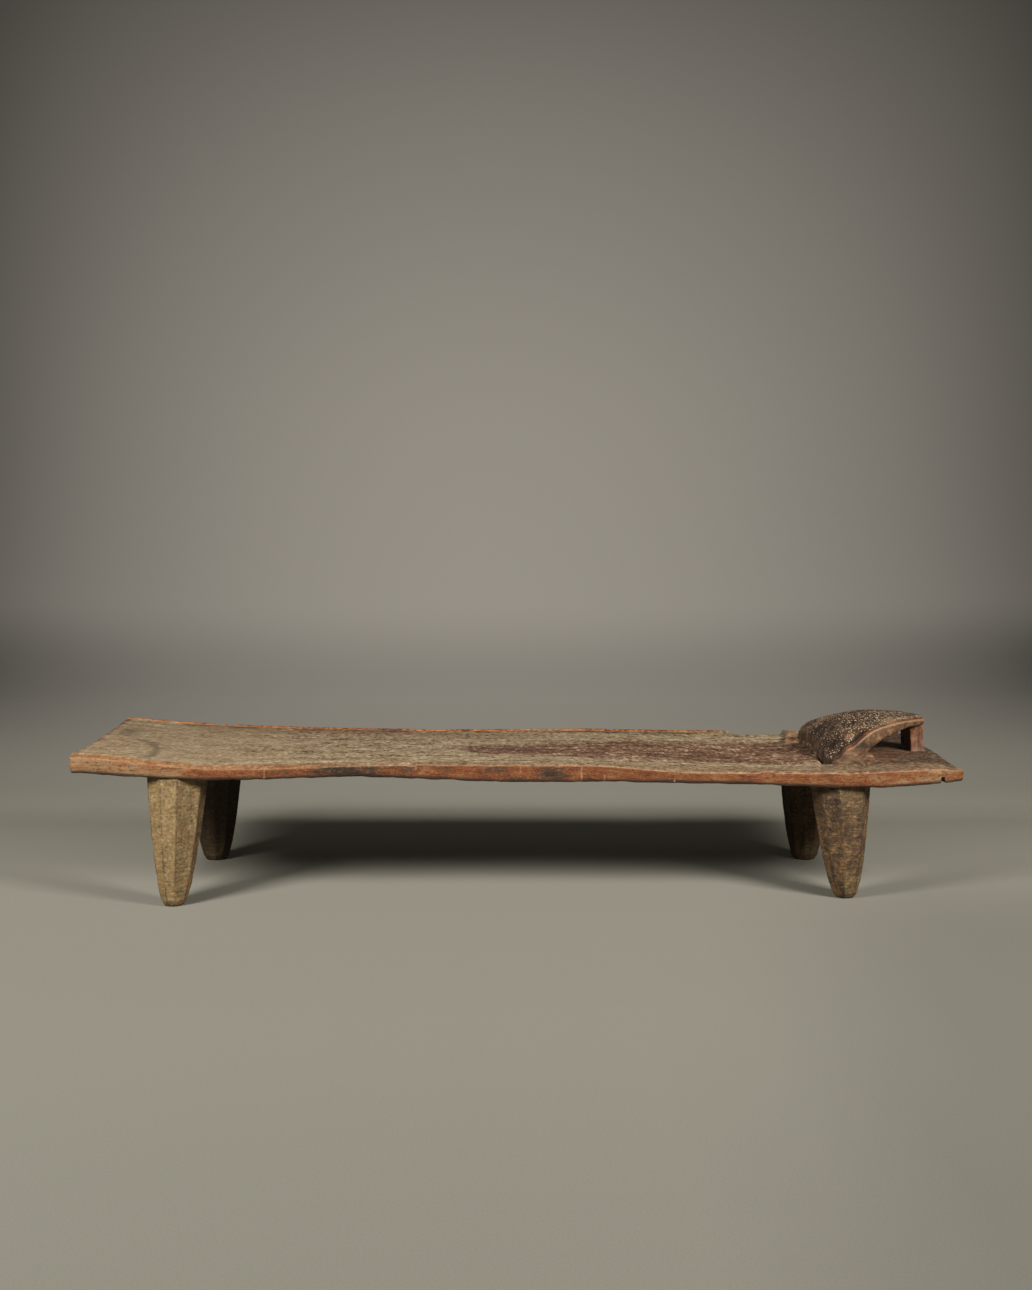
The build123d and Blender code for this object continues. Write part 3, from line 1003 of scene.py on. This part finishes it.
def headrest_wood():
    """Smoked dark wood with scattered pale specks, and a rubbed front edge with a painted highlight along it.
    """
    wood = Nodes("headrest_wood")
    streak = wood.grain((0.035, 0.014, 0.014), 5.0, 0.6, 0.5, 31.0)
    fine = wood.grain((0.025, 0.004, 0.004), 4.0, 0.6, 0.2, 33.0)
    mottle = wood.grain((0.035, 0.030, 0.030), 5.0, 0.6, 0.0, 37.0)
    tone = wood.sum((streak, 0.25), (mottle, 0.50), (fine, 0.25))
    top = wood.ramp(tone, (0.41, (32, 21, 14)), (0.46, (54, 36, 24)), (0.52, (78, 54, 36)),
                    (0.57, (104, 77, 53)), (0.62, (130, 103, 75)))
    ruddy = wood.ramp(tone, (0.42, (54, 33, 22)), (0.50, (100, 62, 38)), (0.58, (132, 92, 62)))
    face = wood.ramp(tone, (0.41, (46, 29, 17)), (0.47, (73, 49, 29)), (0.53, (91, 64, 40)),
                     (0.60, (120, 90, 60)))
    base = wood.mix(wood.times("ruddy", wood.rise(mottle, 0.40, 0.60)), top, ruddy)
    base = wood.mix("face", base, face)
    base = wood.mix(wood.times("pale", wood.rise(fine, 0.40, 0.56)), base, (118, 98, 74))
    distance, random = wood.cells((0.0080, 0.0094, 0.0080), 5.0)
    far, other = wood.cells((0.0055, 0.0064, 0.0055), 9.0)
    spots = wood.times(wood.rise(distance, 0.32, 0.18), wood.rise(wood.chance(random), 0.30, 0.36))
    small = wood.times(wood.rise(far, 0.36, 0.20), wood.rise(wood.chance(other), 0.38, 0.44))
    specks = wood.times(wood.larger(spots, small), "top")
    thick = wood.sum((mottle, 1.0), ("foot", -0.07))
    specks = wood.times(specks, wood.rise(thick, 0.34, 0.44))
    color = wood.mix(wood.times(specks, 0.92), base, (200, 182, 150))
    color = wood.cover(color, "strip", 0.85, wood.ramp(
        tone, (0.42, (62, 34, 18)), (0.50, (92, 53, 28)), (0.58, (120, 80, 50))))
    # the pale line under the front crest: rubbed wood and a painted highlight
    color = wood.cover(color, "line", 0.60, (166, 134, 100))
    color = wood.cover(color, "foot", 0.68, (30, 20, 14))
    color = wood.cover(color, "floor", 0.85, wood.ramp(
        tone, (0.42, (96, 64, 42)), (0.50, (126, 86, 58)), (0.58, (148, 108, 78))))
    color = wood.mix("knot", color, (58, 38, 27))
    roughness = wood.sum((mottle, 0.25), (specks, 0.15), 0.52)
    height = wood.sum((fine, 0.5), (streak, 0.5), (specks, 0.35))
    return wood.finish(color, roughness, height, 0.0016)


# ---- post

POST_VOXEL = 0.0017
POST_WAIST = 0.07  # how much narrower the post is at half height
POST_FLARE = 0.002  # how far it spreads at its foot


def make_post():
    """The small post under the headrest's tip."""
    low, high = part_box("headrest_post")
    middle = (low + high) / 2

    def move(point):
        shifted = point.copy()
        shifted.z += ROOT_SINK * 0.6 if point.z > middle.z else -ROOT_SINK * 0.8
        return shifted

    piece = remeshed("headrest_post", "headrest_post_carved", POST_VOXEL, move)
    co = smoothed(piece, rows(piece, "co"), 6, 0.5)
    height = (co[:, 2] - low.z) / (high.z - low.z)
    waist = 1 - POST_WAIST * np.sin(np.clip(height, 0, 1) * math.pi)
    flare = POST_FLARE * np.clip(1 - height / 0.16, 0, 1) ** 2
    for axis in (0, 1):
        away = co[:, axis] - middle[axis]
        co[:, axis] = middle[axis] + away * waist + np.sign(away) * flare
    place(piece, co)
    out = rows(piece, "normal")
    hewn = rough(co, (0.02, 0.02, 0.03), 3, 41.0)
    co = co + out * (0.0008 * hewn)[:, None]
    place(piece, co)
    mask(piece, "foot", np.clip(1 - height / 0.2, 0, 1))
    return piece


def post_wood():
    """Plain red-brown wood, paler at the foot."""
    wood = Nodes("post_wood")
    streak = wood.grain((0.008, 0.008, 0.05), 4.0, 0.6, 0.4, 43.0)
    mottle = wood.grain((0.02, 0.02, 0.02), 5.0, 0.6, 0.0, 47.0)
    tone = wood.sum((streak, 0.5), (mottle, 0.5))
    color = wood.ramp(tone, (0.40, (64, 37, 22)), (0.50, (99, 61, 38)), (0.60, (130, 90, 62)))
    color = wood.cover(color, "foot", 0.5, (104, 80, 62))
    roughness = wood.sum((mottle, 0.25), 0.55)
    return wood.finish(color, roughness, wood.sum((streak, 0.6), (mottle, 0.4)), 0.0012)


# ---- legs

LEG_VOXEL = 0.0026
RIDGE_ANGLE = 12
RING_SPACING = 0.0105
SCOOP_HEIGHT = 0.0010
RING_HEIGHT = 0.0004
CHISEL_HEIGHT = 0.0005
FACET_HOLLOW = 0.0016
# the dark is smoke patina and painted shade: the front legs' facets turned away from their nearer lamp are
# painted darker
# each leg's tone on its facets, as (facing angle in degrees, 0 pale to 1 dark); -90 faces -Y
LEGS = {
    "leg_front_left": {"shift": 51.0, "tones": [
        (-180, 0.10), (-130, 0.12), (-95, 0.30), (-50, 0.40), (-15, 0.80), (60, 0.75), (180, 0.10)]},
    "leg_front_right": {"shift": 57.0, "tones": [
        (-180, 0.95), (-145, 1.10), (-118, 1.55), (-85, 0.85), (-45, 0.95), (10, 0.65), (180, 0.95)]},
    # the rear legs get painted shadow: they stand in the board's shadow and are painted near black
    "leg_rear_left": {"shift": 61.0, "shade_under_board": 1.0, "tones": [(-180, 0.9), (180, 0.9)]},
    "leg_rear_right": {"shift": 67.0, "shade_under_board": 0.55, "tones": [(-180, 0.8), (180, 0.8)]},
}


def make_leg(node, shift, tones, shade_under_board=0.0):
    """A leg with hollowed facets and faint rings, marked for its tone and painted facet shade, its painted
    shadow under the board and a painted contact shadow at its foot.
    """
    cad = CadShape(node)
    low, high = cad.low, cad.high
    top = high.z - 0.02

    def move(point):
        return point + Vector((0, 0, ROOT_SINK)) if point.z > top else point

    piece = remeshed(node, node + "_carved", LEG_VOXEL, move)
    co = smoothed(piece, rows(piece, "co"), 2, 0.4)
    place(piece, co)
    ridges = cad.sharp_edges(RIDGE_ANGLE)
    away = np.array([ridges.find(p)[2] for p in co.tolist()])
    out = rows(piece, "normal")
    sides = ease(0.7, 0.4, np.abs(out[:, 2]))
    scoops = rough(co, (0.022, 0.022, 0.050), 2, shift)
    wave = co[:, 2] + 0.004 * rough(co, (0.04, 0.04, 0.02), 2, shift + 3)
    patches = rough(co, (0.05, 0.05, 0.05), 1, shift + 9)
    rings = np.sin(wave * 2 * math.pi / RING_SPACING) * ease(0.1, 0.5, patches)
    fine = rough(co, (0.007, 0.007, 0.005), 2, shift + 5)
    hollow = -FACET_HOLLOW * ease(0.0, 0.018, away)
    lift = SCOOP_HEIGHT * scoops + RING_HEIGHT * rings + CHISEL_HEIGHT * fine + hollow
    co = co + out * (sides * lift)[:, None]
    co[:, 2] = np.maximum(co[:, 2], low.z)
    place(piece, co)
    height = (co[:, 2] - low.z) / (high.z - low.z)
    mask(piece, "ridge", ease(0.0042, 0.0012, away) * sides * ease(-0.5, 0.2, scoops + 0.4 * fine))
    # painted shade: the tone follows the way each facet faces, darker on the facets turned from the leg's
    # nearer lamp, over smoke patina deepest at mid height
    facing = np.array([cad.tree.find_nearest(p)[1][:2] for p in co.tolist()])
    angle = np.degrees(np.arctan2(facing[:, 1], facing[:, 0]))
    middle = bell(height, 0.55, 0.50)
    mask(piece, "smoke_and_facet_shade", np.interp(angle, *zip(*tones)) * (0.62 + 0.38 * middle) + 0.22 * scoops)
    # painted contact shadow: the bottom of each foot is darkened
    mask(piece, "foot", ease(0.007, 0.002, co[:, 2]))
    mask(piece, "low", ease(0.45, 0.05, height))
    mask(piece, "shade_under_board", np.full(len(co), shade_under_board))
    return piece


def leg_wood():
    """Bare wood where a leg was hewn last and on facets painted lighter, smoke-darkened wood with painted
    facet shade elsewhere, painted shadow on the rear legs and a painted contact shadow at the feet.
    """
    wood = Nodes("leg_wood")
    streak = wood.grain((0.009, 0.009, 0.08), 4.0, 0.6, 0.4, 71.0)
    bands = wood.grain((0.035, 0.035, 0.008), 4.0, 0.6, 1.2, 73.0)
    mottle = wood.grain((0.026, 0.026, 0.034), 5.0, 0.65, 0.0, 77.0)
    pits = wood.grain((0.0062, 0.0062, 0.0056), 3.0, 0.6, 0.4, 79.0)
    tone = wood.sum((streak, 0.08), (bands, 0.28), (mottle, 0.28), (pits, 0.36))
    bare = wood.ramp(tone, (0.39, (70, 52, 31)), (0.44, (96, 76, 46)), (0.49, (113, 92, 57)),
                     (0.54, (126, 105, 69)), (0.60, (148, 128, 88)))
    smoke_and_facet_shade = wood.ramp(tone, (0.39, (30, 20, 11)), (0.45, (54, 38, 21)), (0.51, (74, 54, 32)),
                       (0.56, (98, 75, 46)), (0.61, (134, 111, 76)))
    # the darker wood is smoke patina and painted facet shade together
    share = wood.rise(wood.sum(("smoke_and_facet_shade", 1.0), (mottle, 0.9), -0.45), 0.20, 0.90)
    color = wood.mix(share, bare, smoke_and_facet_shade)
    rust = wood.times(wood.rise(mottle, 0.50, 0.62), wood.sum(("low", 0.30), 0.30))
    color = wood.mix(rust, color, (104, 70, 38))
    color = wood.cover(color, "ridge", 0.65, (48, 34, 21))
    # painted contact shadow under the feet
    color = wood.cover(color, "foot", 0.7, (30, 22, 16))
    # painted shadow: the rear legs, in the board's shadow, are painted near black
    color = wood.cover(color, "shade_under_board", 0.62, (33, 25, 15))
    roughness = wood.sum((mottle, 0.2), 0.62)
    height = wood.sum((bands, 0.5), (streak, 0.2), (pits, 0.35))
    return wood.finish(color, roughness, height, 0.0022)


# ---- putting it together

make_camera()
make_lights()
make_stage()
bpy.context.scene.view_settings.view_transform = "Standard"

board = make_board()
finish_piece(board, "platform", board_wood(board))
finish_piece(make_headrest(), "headrest", headrest_wood())
finish_piece(make_post(), "headrest_post", post_wood())
legs_material = leg_wood()
for node, traits in LEGS.items():
    finish_piece(make_leg(node, **traits), node, legs_material)
